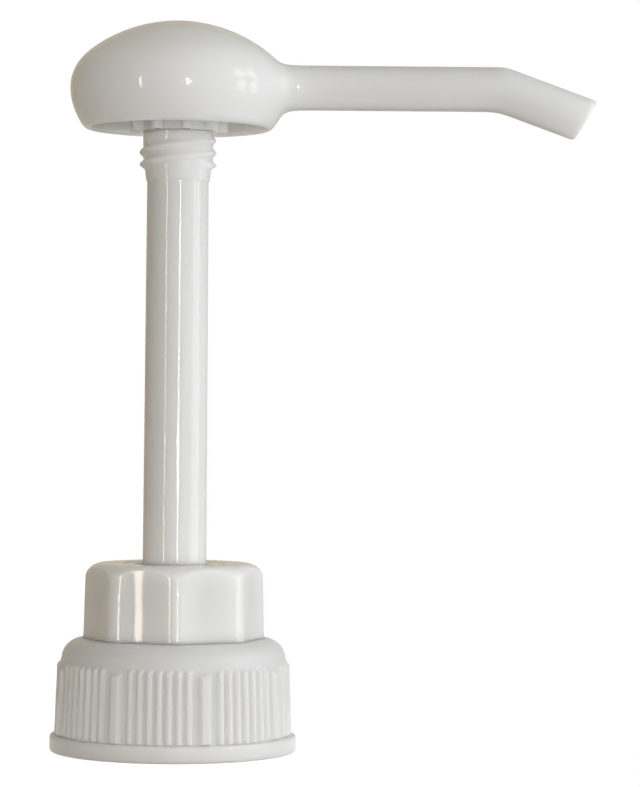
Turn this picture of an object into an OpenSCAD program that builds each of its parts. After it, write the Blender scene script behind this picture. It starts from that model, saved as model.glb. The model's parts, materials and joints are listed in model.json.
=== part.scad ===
// Plunger dosing pump for a liquid canister, spring returned, about 30 ml a stroke.
// A dome head with a side spout sits on a long hollow stem. The stem runs in a guide under
// an octagon collar, which clamps the pump barrel onto a ribbed screw cap. The piston, two
// ball valves, the spring and the suction pipe hang below the cap, inside the canister.
// Millimetres, Z up, spout along +X. The origin is the centre of the cap's lower rim, and
// the plunger is drawn fully raised.

/* [Screw cap] */
// Thread diameter inside the cap, for the canister's neck
canister_thread_d = 51.8; // [48:0.1:60]
// Height of the cap, up to the face that carries the collar
cap_h = 28; // [26:0.5:36]
// Wall between the canister thread and the cap's shoulder
cap_wall = 2.4; // [2:0.1:4]
// Thickness of the cap's top wall
cap_top_wall = 2.5; // [2:0.1:4]
// Height of the plain band between the grip and the rounded shoulder
shoulder_band = 0.5; // [0.3:0.1:3]
// Radius of the cap's rounded shoulder
cap_shoulder_r = 5; // [4:0.1:7]
// Height of the smooth skirt at the cap's foot
skirt_h = 4.5; // [3:0.5:8]
// How far the skirt stands out from the cap's wall
skirt_out = 2.45; // [1:0.05:3]
// Rounding of the skirt's edges
skirt_round = 1; // [0.2:0.1:1.5]
// Depth of the grip panels below the cap's wall
grip_depth = 0.3; // [0.2:0.05:1]
// Number of wide grip bars
bar_count = 8; // [4:1:10]
// Turn of the first wide bar about the stem, in degrees
bar_turn = 18.5; // [0:0.5:45]
// Width of a wide grip bar
bar_w = 2.6; // [1.5:0.1:4]
// How far a wide bar stands out from the cap's wall
bar_out = 1.2; // [0.2:0.05:1.4]
// Number of fine ribs between two wide bars
rib_count = 7; // [3:1:7]
// Width of a fine rib
rib_w = 1.4; // [0.6:0.1:1.6]
// Step from one fine rib to the next, in degrees
rib_step = 4.8; // [4:0.1:5]
// How far a fine rib stands out from the cap's wall
rib_out = 1; // [0.1:0.05:1.2]
// Pitch of the canister thread
canister_pitch = 5; // [4:0.1:6]
// Height of the canister thread's ridge
canister_ridge = 1.2; // [0.8:0.1:1.6]
// Thickness of the sealing liner under the cap's top wall
liner_t = 2; // [1:0.1:3]
// Room between the liner and the hole in the cap's top wall
liner_inset = 0.7; // [0.3:0.1:2]

/* [Octagon collar] */
// Least wall between the collar's thread and its flats
collar_wall = 2.25; // [1.5:0.05:4]
// Thickness of the collar's top wall
collar_top_wall = 3; // [2:0.1:5]
// Rounding of the eight upright edges
collar_corner_r = 4; // [1:0.1:5]
// Rounding of the collar's top edge
collar_top_round = 3.6; // [1.5:0.1:4]
// Turn of the octagon about the stem, in degrees
collar_turn = -18.1; // [-22.5:0.1:22.5]
// Height of the threaded spigot on top of the cap
spigot_h = 10.4; // [8:0.1:14]
// Wall of the threaded spigot
spigot_wall = 2.4; // [2:0.1:4]
// How far the barrel's flange and gasket stay inside the spigot's edge
flange_inset = 0.4; // [0.2:0.05:1]
// Pitch of the collar's thread
collar_pitch = 4.2; // [3.5:0.1:5]
// Height of the collar thread's ridge
collar_ridge = 0.9; // [0.6:0.05:1.2]
// Thickness of the gasket under the barrel's flange
gasket_t = 1.6; // [1:0.1:3]

/* [Barrel] */
// Bore of the barrel
barrel_bore_d = 20; // [18:0.5:24]
// Wall of the barrel
barrel_wall = 1.6; // [1.2:0.1:2.5]
// Thickness of the barrel's clamping flange
barrel_flange_t = 2; // [1.5:0.1:3]
// Wall of the cup that holds the guide
cup_wall = 2; // [1.5:0.1:3]
// Least ledge in the barrel that carries the guide
cup_ledge = 1; // [0.8:0.1:3]
// Diameter of the barrel's air vent
vent_d = 1.6; // [1:0.1:2.4]

/* [Guide] */
// Depth of the guide in the barrel's cup
guide_depth = 11; // [9.5:0.5:16]
// Thickness of the guide's flange
guide_flange_t = 1.8; // [1.2:0.1:3]
// Wall of the guide outside its lock thread
guide_wall = 2.35; // [1.5:0.05:3]
// Step from the guide's top boss to its body
guide_step = 0.6; // [0.4:0.1:1.5]
// How far the guide's flange stands out from its body
guide_flange_out = 2.6; // [1.5:0.1:3]
// Height of the wiper ring in the guide
wiper_h = 2.4; // [1.6:0.1:3]
// Height of the guide below the wiper ring
wiper_foot = 1.9; // [1:0.1:3]
// Height of the guide between the wiper ring and the lock thread's runout
wiper_web = 0.5; // [0.3:0.1:1.5]
// Radial depth of the wiper ring's groove
wiper_groove = 1.8; // [1:0.1:2.2]

/* [Stem] */
// Diameter of the stem
stem_d = 15.8; // [14:0.1:16.5]
// Bore of the stem
stem_bore_d = 11; // [10.5:0.1:11.5]
// Travel of the plunger
stroke = 95; // [60:1:120]
// Room left between the guide and the stem's flare at full travel
stroke_margin = 0.5; // [0.4:0.1:3]
// Height of the threaded neck at the top of the stem
neck_h = 12.4; // [10:0.1:16]
// How far the threaded neck stands out from the stem
neck_out = 0.85; // [0.5:0.05:1.2]
// Height of the plain flare below the lock thread
flare_h = 3; // [2:0.1:4]
// Step at the foot of the flare
flare_step = 0.2; // [0.1:0.05:0.4]
// Turn of the lock thread about the stem, in degrees
lock_turn = -44; // [-180:1:180]
// Distance between neighbouring ridges of the lock thread
lock_pitch = 3.1; // [2.6:0.1:4]
// Number of starts of the lock thread
lock_starts = 2; // [1:1:2]
// Height of the lock thread's ridge
lock_ridge = 0.9; // [0.6:0.05:1.1]
// Width of the stem's lock ridge at its foot, as a share of the pitch
lock_foot = 0.8; // [0.4:0.05:0.9]
// Wall of the stem's spigot inside the head
stem_spigot_wall = 1.4; // [1:0.1:1.6]
// Length of the stem's spigot inside the head
stem_spigot_h = 5.5; // [4:0.1:6]

/* [Head] */
// Radius of the dome at its widest
belly_r = 27.1; // [24:0.1:30]
// Height of the widest part above the dome's rim
belly_h = 10.4; // [9.8:0.1:13]
// Radius of the crown
crown_r = 36.6; // [33:0.1:45]
// Radius of the shoulder between the crown and the widest part
shoulder_r = 10.5; // [8:0.1:13]
// Radius of the flank below the widest part
flank_r = 16; // [14:0.1:24]
// Wall of the dome
dome_wall = 2; // [1.5:0.1:2.6]
// Height of the dome's rim above the stem's neck
rim_lift = 0.7; // [0.4:0.1:3]
// How far the head's socket stands out from the stem's neck
socket_out = 0.85; // [0.5:0.05:2]
// Number of gusset fins under the dome
fin_count = 9; // [6:1:12]
// Turn of the first gusset fin about the stem, in degrees
fin_turn = -77; // [-90:1:90]
// Thickness of a gusset fin
fin_t = 2; // [1:0.1:3]
// Reach of a gusset fin past the head's socket
fin_out = 2.7; // [1.5:0.1:4]

/* [Spout] */
// Outside diameter of the spout
spout_d = 11.2; // [10:0.1:12]
// Bore of the spout
spout_bore_d = 7.5; // [5:0.1:8]
// Height of the spout's axis above the dome's rim
spout_h = 10.6; // [9.6:0.1:12]
// Distance from the stem's axis to the spout's bend
spout_reach = 80.75; // [50:0.25:120]
// Length of the spout past its bend
tip_l = 22.4; // [14:0.1:40]
// Angle by which the tip bends down
tip_angle = 20; // [10:1:35]
// Extra angle of the cut at the spout's end
tip_cut = 10.5; // [0:0.5:20]
// Fillet between the spout and the dome
spout_fillet = 3.4; // [2:0.1:3.6]

/* [Valves] */
// Diameter of the inlet ball
inlet_ball_d = 9; // [8:0.5:10]
// Diameter of the discharge ball
discharge_ball_d = 8; // [7:0.5:8.5]
// Lift of each ball off its seat
ball_lift = 3; // [1.5:0.1:4]
// Diameter of the hole under each ball
port_d = 5; // [4:0.1:5.4]
// Length of the hole under the inlet ball's seat
port_l = 3; // [2:0.1:6]
// Wall around the inlet ball's chamber
chamber_wall = 1.5; // [1.2:0.1:3]
// Room around the inlet ball in its chamber
chamber_gap = 1.1; // [0.8:0.1:2]
// Width of the rim around the discharge ball's seat
seat_rim = 0.6; // [0.3:0.1:1]
// Thickness of the bars that stop the balls
stop_bar = 2; // [1.2:0.1:3]
// Thickness of the inlet cage's ring
cage_ring_t = 2.5; // [2:0.1:4]
// Height of the discharge ball's stop
stop_h = 4; // [3:0.1:6]

/* [Piston] */
// Height of the piston
piston_h = 8.6; // [7:0.1:12]
// Height of each sealing lip
lip_h = 1.8; // [1:0.1:2.5]
// Depth of the waist between the lips
waist_depth = 1.4; // [0.8:0.1:2]
// Thickness of a sealing lip at its edge
lip_t = 0.8; // [0.5:0.1:1.2]
// Room between the carrier's flange and the barrel
carrier_gap = 0.6; // [0.4:0.1:1.5]
// Thickness of the flange that carries the piston
carrier_flange_t = 2.5; // [2:0.1:4]
// How far the carrier reaches into the stem
carrier_l = 9; // [7:0.1:14]

/* [Spring] */
// Wire diameter of the return spring
wire_d = 1.3; // [1:0.05:1.5]
// Mean diameter of the return spring
spring_d = 15.2; // [14.5:0.1:16]
// Number of coils
coils = 16; // [10:1:20]

/* [Suction pipe] */
// Outside diameter of the suction pipe
pipe_d = 10; // [9:0.1:12]
// Wall of the suction pipe
pipe_wall = 1.3; // [0.8:0.1:1.8]
// Length of the pipe below its socket
pipe_free = 85; // [40:1:200]
// Depth of the pipe's socket
socket_depth = 14; // [10:0.5:20]
// Wall around the pipe's socket
socket_wall = 2; // [1.5:0.1:3]

/* [Clearances] */
// Radial clearance of a running fit
running_gap = 0.1; // [0.04:0.01:0.1]
// Clearance of pieces that are pressed or clamped together
seat_gap = 0.05; // [0.02:0.01:0.1]
// Axial clearance between a stop and what it stops
stop_gap = 0.2; // [0.1:0.05:0.4]
// Radial clearance between mating threads
thread_gap = 0.25; // [0.15:0.05:0.4]
// Radial clearance of a piece that passes through a wall
pass_gap = 0.3; // [0.2:0.05:0.6]

/* [Hidden] */
$fn = 96;

// Colours of the finishes
gloss_white = [0.93, 0.92, 0.88];
satin_white = [0.92, 0.92, 0.90];
natural_white = [0.88, 0.90, 0.89];
seal_grey = [0.55, 0.56, 0.57];
steel = [0.72, 0.73, 0.74];

// Working values of the shapes: how deep joined shapes overlap, and how finely curves are cut
sink = 0.3;
arc_steps = 10;
ridge_steps = 36;
ridge_fade = 0.12;
ridge_foot = 0.4;
ridge_tip = 0.2;
thread_start = 0.6;
seat_angle = 45;

// Radii from the stem outwards
stem_r = stem_d / 2;
stem_bore_r = stem_bore_d / 2;
neck_r = stem_r + neck_out;
lock_major_r = neck_r + lock_ridge + thread_gap;
guide_bore_r = stem_r + running_gap;
boss_r = lock_major_r + guide_wall;
guide_r = boss_r + guide_step;
guide_flange_r = guide_r + guide_flange_out;
barrel_bore_r = barrel_bore_d / 2;
barrel_r = barrel_bore_r + barrel_wall;
cup_bore_r = max(guide_r, barrel_bore_r + cup_ledge) + seat_gap;
cup_r = cup_bore_r + cup_wall;
cap_hole_r = cup_r + pass_gap;
spigot_r = cap_hole_r + spigot_wall;
flange_r = spigot_r - flange_inset;
collar_bore_r = spigot_r + collar_ridge + thread_gap;
collar_flat_r = collar_bore_r + collar_wall;
collar_corner_reach = (collar_flat_r - collar_corner_r) / cos(22.5) + collar_corner_r;
cap_bore_r = canister_thread_d / 2;
cap_r = cap_bore_r + cap_wall;
panel_r = cap_r - grip_depth;
skirt_r = cap_r + skirt_out;

// Heights from the cap upwards
grip_top = cap_h - cap_shoulder_r - shoulder_band;
spigot_top = cap_h + spigot_h;
flange_bottom = spigot_top + gasket_t;
flange_top = flange_bottom + barrel_flange_t;
guide_flange_top = flange_top + guide_flange_t;
collar_top = guide_flange_top + collar_top_wall;
collar_h = collar_top - cap_h;
guide_top = collar_top - stop_gap;
guide_bottom = flange_top - guide_depth;
wiper_bottom = guide_bottom + wiper_foot;
wiper_top = wiper_bottom + wiper_h + 2 * seat_gap;
lock_floor = wiper_top + wiper_web + lock_major_r - guide_bore_r;
flare_bottom = guide_top + stroke + stroke_margin;
neck_bottom = flare_bottom + flare_h;
neck_top = flare_bottom + neck_h;
rim_z = neck_top + rim_lift;
stem_top = neck_top + stem_spigot_h;
spout_z = rim_z + spout_h;

// Heights from the piston downwards
stem_bottom = guide_bottom;
piston_top = stem_bottom - stop_gap;
piston_bottom = piston_top - piston_h;
carrier_flange_top = piston_bottom - stop_gap;
carrier_bottom = carrier_flange_top - carrier_flange_t;
carrier_top = stem_bottom + carrier_l;
spring_top = carrier_bottom - stop_gap;
spring_solid = coils * wire_d + 1;
spring_bottom = spring_top - stroke - spring_solid;
cage_top = spring_bottom - seat_gap;
barrel_floor = cage_top - cage_ring_t;

// Valves
inlet_ball_r = inlet_ball_d / 2;
discharge_ball_r = discharge_ball_d / 2;
port_r = port_d / 2;
seat_rest = 0.03;
inlet_ball_z = barrel_floor - ball_lift - stop_gap - inlet_ball_r;
inlet_seat_tip = inlet_ball_z - inlet_ball_r / sin(seat_angle) - seat_rest;
chamber_r = inlet_ball_r + chamber_gap;
port_top = inlet_seat_tip + port_r;
socket_top = port_top - port_l;
socket_mouth = socket_top - socket_depth;
foot_r = max(pipe_d / 2 + seat_gap + socket_wall, chamber_r + chamber_wall);
carrier_spigot_r = stem_bore_r - seat_gap;
carrier_seat_r = carrier_spigot_r - seat_rim;
discharge_seat_tip = carrier_top - carrier_seat_r;
discharge_ball_z = discharge_seat_tip + discharge_ball_r / sin(seat_angle) + seat_rest;
stop_bottom = discharge_ball_z + discharge_ball_r + ball_lift + stop_gap;
carrier_flange_r = min(spring_d / 2 + wire_d, barrel_bore_r - carrier_gap);

// Dome and spout
head_socket_r = neck_r + socket_out;
stem_spigot_r = stem_bore_r + stem_spigot_wall;
crown_h = belly_h - sqrt(pow(crown_r - shoulder_r, 2) - pow(belly_r - shoulder_r, 2));
crown_angle = atan2(belly_h - crown_h, belly_r - shoulder_r);
lip_r = dome_wall / 2;
lip_angle = asin((belly_h - lip_r) / (flank_r - lip_r));
crown_join_h = crown_h + crown_r * sin(crown_angle);
spout_r = spout_d / 2;
spout_bore_r = spout_bore_d / 2;
tip_turn = [0, tip_angle, 0];

// Points of an arc about (x, y), both ends included
function arc(x, y, r, from, to, steps = arc_steps) =
    [for (i = [0:steps]) let (a = from + (to - from) * i / steps) [x + r * cos(a), y + r * sin(a)]];

// Triangles of a swept solid whose rings hold the same number of points
function sweep_faces(rings, sides, closed = false) =
    let (last = rings - 1, joins = closed ? rings : last)
    concat(
        [for (i = [0:joins - 1], j = [0:sides - 1], half = [0, 1])
            let (
                here = i * sides,
                next = ((i + 1) % rings) * sides,
                k = (j + 1) % sides
            )
            half == 0 ? [here + j, here + k, next + k] : [here + j, next + k, next + j]],
        closed ? [] : [for (j = [1:sides - 2]) [0, j + 1, j]],
        closed ? [] : [for (j = [1:sides - 2]) [last * sides, last * sides + j, last * sides + j + 1]]
    );

// One helical thread ridge that fades out at both ends, outside a shaft or inside a bore
module thread_ridge(wall_r, ridge, pitch, lead, turns, bottom, start, inside = false,
        foot_share = ridge_foot) {
    way = inside ? -1 : 1;
    root = wall_r - way * sink;
    foot = pitch * foot_share + sink;
    tip = pitch * ridge_tip;
    steps = ceil(turns * ridge_steps);
    points = [
        for (i = [0:steps])
            let (
                along = turns * i / steps,
                fade = max(0.05, min(1, along / ridge_fade, (turns - along) / ridge_fade)),
                edge = root + way * (sink + ridge) * fade,
                a = start + 360 * along,
                z = bottom + lead * along
            )
            for (corner = [[root, -foot], [edge, -tip], [edge, tip], [root, foot]])
                [corner[0] * cos(a), corner[0] * sin(a), z + way * corner[1] / 2]
    ];
    polyhedron(points, sweep_faces(steps + 1, 4));
}

// A solid of revolution from heights and radii, as pairs of radius and height
module turned(points) {
    rotate_extrude() polygon(points);
}

// A plain ring
module ring(outer, inner, bottom, top) {
    turned([[inner, bottom], [outer, bottom], [outer, top], [inner, top]]);
}

// Screw cap

// Outline of the cap's grip: panels, wide bars and fine ribs
module grip_outline() {
    bar_step = 360 / bar_count;
    circle(panel_r);
    for (i = [0:bar_count - 1]) {
        rotate(i * bar_step + bar_turn) {
            translate([panel_r - sink, -bar_w / 2]) square([sink + grip_depth + bar_out, bar_w]);
            for (j = [0:rib_count - 1])
                rotate(bar_step / 2 + (j - (rib_count - 1) / 2) * rib_step)
                    translate([panel_r - sink, -rib_w / 2]) square([sink + grip_depth + rib_out, rib_w]);
        }
    }
}

module cap_body() {
    shoulder = arc(cap_r - cap_shoulder_r, cap_h - cap_shoulder_r, cap_shoulder_r, 0, 90);
    skirt_low = arc(skirt_r - skirt_round, skirt_round, skirt_round, -90, 0, 4);
    skirt_high = arc(skirt_r - skirt_round, skirt_h - skirt_round, skirt_round, 0, 90, 4);
    turned(concat(
        [[0, 0]], skirt_low, skirt_high,
        [[panel_r, skirt_h], [panel_r, grip_top], [cap_r, grip_top]],
        shoulder, [[0, cap_h]]
    ));
    translate([0, 0, skirt_h - sink]) linear_extrude(grip_top - skirt_h + 2 * sink) grip_outline();
    cylinder(r = spigot_r, h = spigot_top);
}

module screw_cap() {
    thread_room = cap_h - cap_top_wall - liner_t;
    thread_turns = thread_room / canister_pitch - 2 * thread_start;
    spigot_turns = (spigot_h - collar_pitch) / collar_pitch;
    color(satin_white) {
        difference() {
            cap_body();
            translate([0, 0, -1]) cylinder(r = cap_bore_r, h = cap_h - cap_top_wall + 1);
            translate([0, 0, -1]) cylinder(r = cap_hole_r, h = spigot_top + 2);
        }
        thread_ridge(cap_bore_r, canister_ridge, canister_pitch, canister_pitch, thread_turns,
            canister_pitch * thread_start, 0, true);
        thread_ridge(spigot_r, collar_ridge, collar_pitch, collar_pitch, spigot_turns,
            cap_h + collar_pitch * thread_start, 0);
    }
}

module cap_liner() {
    top = cap_h - cap_top_wall - seat_gap;
    color(seal_grey)
        ring(cap_bore_r - canister_ridge - pass_gap, cap_hole_r + liner_inset, top - liner_t, top);
}

// Octagon collar

module octagon_outline() {
    reach = (collar_flat_r - collar_corner_r) / cos(22.5);
    polygon([
        for (i = [0:7])
            let (a = i * 45 + 22.5)
            each arc(reach * cos(a), reach * sin(a), collar_corner_r, a - 22.5, a + 22.5, 5)
    ]);
}

module octagon_collar() {
    round_r = collar_corner_reach - collar_top_round;
    thread_turns = (spigot_h - collar_pitch) / collar_pitch;
    color(gloss_white) {
        difference() {
            intersection() {
                translate([0, 0, cap_h + seat_gap]) rotate(collar_turn)
                    linear_extrude(collar_h) octagon_outline();
                turned(concat(
                    [[0, 0], [collar_corner_reach, 0]],
                    arc(round_r, collar_top - collar_top_round, collar_top_round, 0, 90),
                    [[0, collar_top]]
                ));
            }
            cylinder(r = collar_bore_r, h = guide_flange_top + seat_gap);
            cylinder(r = boss_r + pass_gap, h = collar_top + 1);
        }
        thread_ridge(collar_bore_r, collar_ridge, collar_pitch, collar_pitch, thread_turns,
            cap_h + collar_pitch * thread_start, 180, true);
    }
}

module collar_gasket() {
    color(seal_grey)
        ring(flange_r, cap_hole_r + seat_gap, spigot_top + seat_gap, flange_bottom - seat_gap);
}

// Barrel, guide and wiper

module barrel() {
    cone_top = guide_bottom - cup_wall;
    cone_bottom = cone_top - (cup_r - barrel_r);
    foot_top = barrel_floor - barrel_wall;
    pipe_bore_r = pipe_d / 2 + seat_gap;
    seat_top = inlet_seat_tip + chamber_r;
    vent_z = piston_bottom + lip_h + vent_d;
    color(natural_white)
        difference() {
            turned([
                [barrel_bore_r, barrel_floor], [barrel_bore_r, guide_bottom - seat_gap],
                [cup_bore_r, guide_bottom - seat_gap], [cup_bore_r, flange_top - seat_gap],
                [flange_r, flange_top - seat_gap], [flange_r, flange_bottom],
                [cup_r, flange_bottom], [cup_r, cone_top], [barrel_r, cone_bottom],
                [barrel_r, foot_top], [foot_r, foot_top - (barrel_r - foot_r)],
                [foot_r, socket_mouth], [pipe_bore_r, socket_mouth], [pipe_bore_r, socket_top],
                [port_r, socket_top], [port_r, port_top], [chamber_r, seat_top],
                [chamber_r, barrel_floor]
            ]);
            translate([0, 0, vent_z]) rotate([90, 0, 0]) cylinder(d = vent_d, h = cup_r, $fn = 24);
        }
}

module stem_guide() {
    groove_r = guide_bore_r + wiper_groove;
    lead = lock_pitch * lock_starts;
    turns = (guide_top - lock_floor - lock_pitch) / lead;
    color(gloss_white) {
        turned([
            [guide_bore_r, guide_bottom], [guide_r, guide_bottom], [guide_r, flange_top],
            [guide_flange_r, flange_top], [guide_flange_r, guide_flange_top],
            [boss_r, guide_flange_top], [boss_r, guide_top], [lock_major_r, guide_top],
            [lock_major_r, lock_floor], [guide_bore_r, wiper_top + wiper_web],
            [guide_bore_r, wiper_top], [groove_r, wiper_top], [groove_r, wiper_bottom],
            [guide_bore_r, wiper_bottom]
        ]);
        for (i = [0:lock_starts - 1])
            thread_ridge(lock_major_r, lock_ridge, lock_pitch, lead, turns,
                lock_floor + lock_pitch / 2, i * 360 / lock_starts, true);
    }
}

module stem_wiper() {
    bottom = wiper_bottom + seat_gap;
    outer = guide_bore_r + wiper_groove - seat_gap;
    lip = stem_r + running_gap / 2;
    color(seal_grey)
        turned([
            [lip, bottom], [outer, bottom], [outer, bottom + wiper_h], [lip + lip_t, bottom + wiper_h],
            [lip, bottom + wiper_h * 0.5]
        ]);
}

// Inlet valve and suction pipe

module inlet_cage() {
    outer = barrel_bore_r - seat_gap;
    inner = chamber_r - 0.4;
    color(natural_white) {
        ring(outer, inner, barrel_floor + seat_gap, cage_top);
        for (turn = [0, 90])
            rotate(turn) translate([-inner - sink, -stop_bar / 2, barrel_floor + seat_gap])
                cube([2 * (inner + sink), stop_bar, stop_bar]);
    }
}

module inlet_ball() {
    color(steel) translate([0, 0, inlet_ball_z]) sphere(inlet_ball_r);
}

module suction_pipe() {
    top = socket_top - stop_gap;
    bottom = socket_mouth - pipe_free;
    pipe_r = pipe_d / 2;
    color(natural_white)
        difference() {
            ring(pipe_r, pipe_r - pipe_wall, bottom, top);
            translate([-pipe_r, 0, bottom]) rotate([0, 45, 0])
                translate([0, -pipe_d, 0]) cube([3 * pipe_d, 2 * pipe_d, 3 * pipe_d]);
        }
}

// Spring

spring_rings = 12;
spring_sides = 6;
end_rise = wire_d + 0.5;
spring_low = spring_bottom + wire_d / 2;
spring_high = spring_top - wire_d / 2;

// Height of the wire's centreline after some turns, with a flatter coil at each end
function spring_z(turn) =
    turn < 1 ? spring_low + end_rise * turn :
    turn > coils - 1 ? spring_high - end_rise * (coils - turn) :
    spring_low + end_rise
        + (spring_high - spring_low - 2 * end_rise) * (turn - 1) / (coils - 2);

function spring_centre(turn) =
    [spring_d / 2 * cos(360 * turn), spring_d / 2 * sin(360 * turn), spring_z(turn)];

spring_steps = coils * spring_rings;
spring_centres = [for (i = [0:spring_steps]) spring_centre(i / spring_rings)];
spring_least_gap = min([
    for (
        i = [0:spring_steps - spring_rings],
        j = [i + spring_rings - 1:min(i + spring_rings + 1, spring_steps)]
    )
        norm(spring_centres[j] - spring_centres[i])
]) - wire_d;
echo(spring_least_gap = spring_least_gap);

module return_spring() {
    slope = atan2((spring_high - spring_low) / coils, PI * spring_d);
    points = [
        for (i = [0:spring_steps], j = [0:spring_sides - 1])
            let (
                a = 360 * i / spring_rings,
                side = 360 * j / spring_sides,
                across = [cos(a), sin(a), 0],
                up = [sin(a) * sin(slope), -cos(a) * sin(slope), cos(slope)]
            )
            spring_centres[i] + wire_d / 2 * (cos(side) * across + sin(side) * up)
    ];
    color(steel) polyhedron(points, sweep_faces(spring_steps + 1, spring_sides));
}

// Piston and discharge valve

module piston() {
    bore = carrier_spigot_r + running_gap;
    lip = barrel_bore_r - running_gap / 2;
    waist = lip - waist_depth;
    low = piston_bottom;
    high = piston_top;
    color(satin_white)
        turned([
            [bore, low], [waist - lip_t, low], [waist - lip_t, low + lip_h], [lip - lip_t, low], [lip, low],
            [lip, low + lip_h * 0.6], [waist, low + lip_h * 1.5], [waist, high - lip_h * 1.5],
            [lip, high - lip_h * 0.6], [lip, high], [bore, high]
        ]);
}

module piston_carrier() {
    seat_bottom = discharge_seat_tip + port_r;
    color(satin_white)
        turned([
            [port_r, carrier_bottom], [carrier_flange_r, carrier_bottom],
            [carrier_flange_r, carrier_flange_top], [carrier_spigot_r, carrier_flange_top],
            [carrier_spigot_r, carrier_top], [carrier_seat_r, carrier_top], [port_r, seat_bottom]
        ]);
}

module discharge_ball() {
    color(steel) translate([0, 0, discharge_ball_z]) sphere(discharge_ball_r);
}

module discharge_stop() {
    outer = stem_bore_r - seat_gap;
    inner = outer - 1;
    color(natural_white) {
        ring(outer, inner, stop_bottom, stop_bottom + stop_h);
        for (turn = [0, 90])
            rotate(turn) translate([-inner - sink, -stop_bar / 2, stop_bottom])
                cube([2 * (inner + sink), stop_bar, stop_h]);
    }
}

// Stem

module stem() {
    lead = lock_pitch * lock_starts;
    first = neck_bottom + sink;
    turns = (neck_top - seat_gap - sink - first - lock_pitch * lock_foot / 2) / lead;
    color(gloss_white) {
        turned([
            [stem_bore_r, stem_bottom], [stem_r, stem_bottom], [stem_r, flare_bottom],
            [stem_r + flare_step, flare_bottom], [neck_r, neck_bottom], [neck_r, neck_top - seat_gap],
            [stem_spigot_r, neck_top - seat_gap], [stem_spigot_r, stem_top], [stem_bore_r, stem_top]
        ]);
        for (i = [0:lock_starts - 1])
            thread_ridge(neck_r, lock_ridge, lock_pitch, lead, turns, first,
                i * 360 / lock_starts + lock_turn, foot_share = lock_foot);
    }
}

// Dome head

module dome_shell() {
    flank_x = belly_r - flank_r;
    shoulder_x = belly_r - shoulder_r;
    lip_x = flank_x + (flank_r - lip_r) * cos(lip_angle);
    outline = concat(
        arc(lip_x, lip_r, lip_r, -lip_angle - 180, -lip_angle),
        arc(flank_x, belly_h, flank_r, -lip_angle, 0),
        arc(shoulder_x, belly_h, shoulder_r, 0, crown_angle),
        arc(0, crown_h, crown_r, crown_angle, 90)
    );
    hollow = concat(
        arc(0, crown_h, crown_r - dome_wall, 90, crown_angle),
        arc(shoulder_x, belly_h, shoulder_r - dome_wall, crown_angle, 0),
        arc(flank_x, belly_h, flank_r - dome_wall, 0, -lip_angle)
    );
    translate([0, 0, rim_z]) turned(concat(outline, hollow));
}

// Radius of the dome's outside at a height above its rim
function dome_r(h) =
    h > crown_join_h ? sqrt(pow(crown_r, 2) - pow(h - crown_h, 2)) :
    h > belly_h ? belly_r - shoulder_r + sqrt(pow(shoulder_r, 2) - pow(h - belly_h, 2)) :
    belly_r - flank_r + sqrt(pow(flank_r, 2) - pow(h - belly_h, 2));

// Distance from the stem's axis to the dome, along the spout, at a place around the spout
function dome_x(around, out) =
    sqrt(pow(dome_r(spout_h + out * cos(around)), 2) - pow(out * sin(around), 2));

// A closed ring of fillet around the spout where it leaves the dome
module spout_fillet_ring() {
    turns = 48;
    steps = 6;
    bury = 0.3;
    points = [
        for (i = [0:turns - 1])
            let (
                around = 360 * i / turns,
                corner = [dome_x(around, spout_r), spout_r],
                along = [corner[0] + spout_fillet, spout_r - bury],
                up = [dome_x(around, spout_r + spout_fillet) - bury, spout_r + spout_fillet],
                root = [corner[0] - 1.2, spout_r - 1],
                curve = [for (k = [0:steps])
                    let (t = k / steps)
                    pow(1 - t, 2) * along + 2 * t * (1 - t) * corner + pow(t, 2) * up]
            )
            for (p = concat(curve, [root]))
                [p[0], p[1] * sin(around), spout_z + p[1] * cos(around)]
    ];
    polyhedron(points, sweep_faces(turns, steps + 2, true));
}

// A block on one side of the plane that halves the spout's bend
module bend_side(way) {
    size = 4 * spout_d;
    translate([spout_reach, 0, spout_z]) rotate([0, tip_angle / 2, 0])
        translate([way * size / 2, 0, 0]) cube(size, center = true);
}

// A round rod along the spout's centreline, from the stem's axis past the bend to the tip
module spout_rod(r, extra) {
    difference() {
        translate([0, 0, spout_z]) rotate([0, 90, 0]) cylinder(r = r, h = spout_reach + spout_d);
        bend_side(1);
    }
    difference() {
        translate([spout_reach, 0, spout_z]) rotate(tip_turn) translate([-spout_d, 0, 0])
            rotate([0, 90, 0]) cylinder(r = r, h = spout_d + tip_l + extra);
        bend_side(-1);
    }
}

module spout_end_cut() {
    translate([spout_reach, 0, spout_z]) rotate(tip_turn) translate([tip_l, 0, 0])
        rotate([0, tip_cut, 0]) translate([0, -spout_d, -spout_d]) cube(2 * spout_d);
}

module gusset_fins() {
    reach = head_socket_r + fin_out;
    top = rim_z + crown_h + sqrt(pow(crown_r - dome_wall / 2, 2) - pow(reach, 2));
    for (i = [0:fin_count - 1])
        rotate(i * 360 / fin_count + fin_turn)
            translate([stem_spigot_r + seat_gap + sink, -fin_t / 2, neck_top])
                cube([reach - stem_spigot_r - seat_gap - sink, fin_t, top - neck_top]);
}

module dome_head() {
    socket_top = rim_z + crown_h + sqrt(pow(crown_r - dome_wall / 2, 2) - pow(head_socket_r, 2));
    color(gloss_white)
        difference() {
            union() {
                dome_shell();
                translate([0, 0, neck_top]) cylinder(r = head_socket_r, h = socket_top - neck_top);
                gusset_fins();
                spout_rod(spout_r, 3);
                spout_fillet_ring();
            }
            spout_rod(spout_bore_r, 6);
            translate([0, 0, neck_top - 1])
                cylinder(r = stem_spigot_r + seat_gap, h = stem_spigot_h + 1 + seat_gap);
            translate([0, 0, neck_top]) cylinder(r = stem_bore_r, h = spout_z + spout_bore_r - neck_top);
            spout_end_cut();
        }
}

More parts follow.
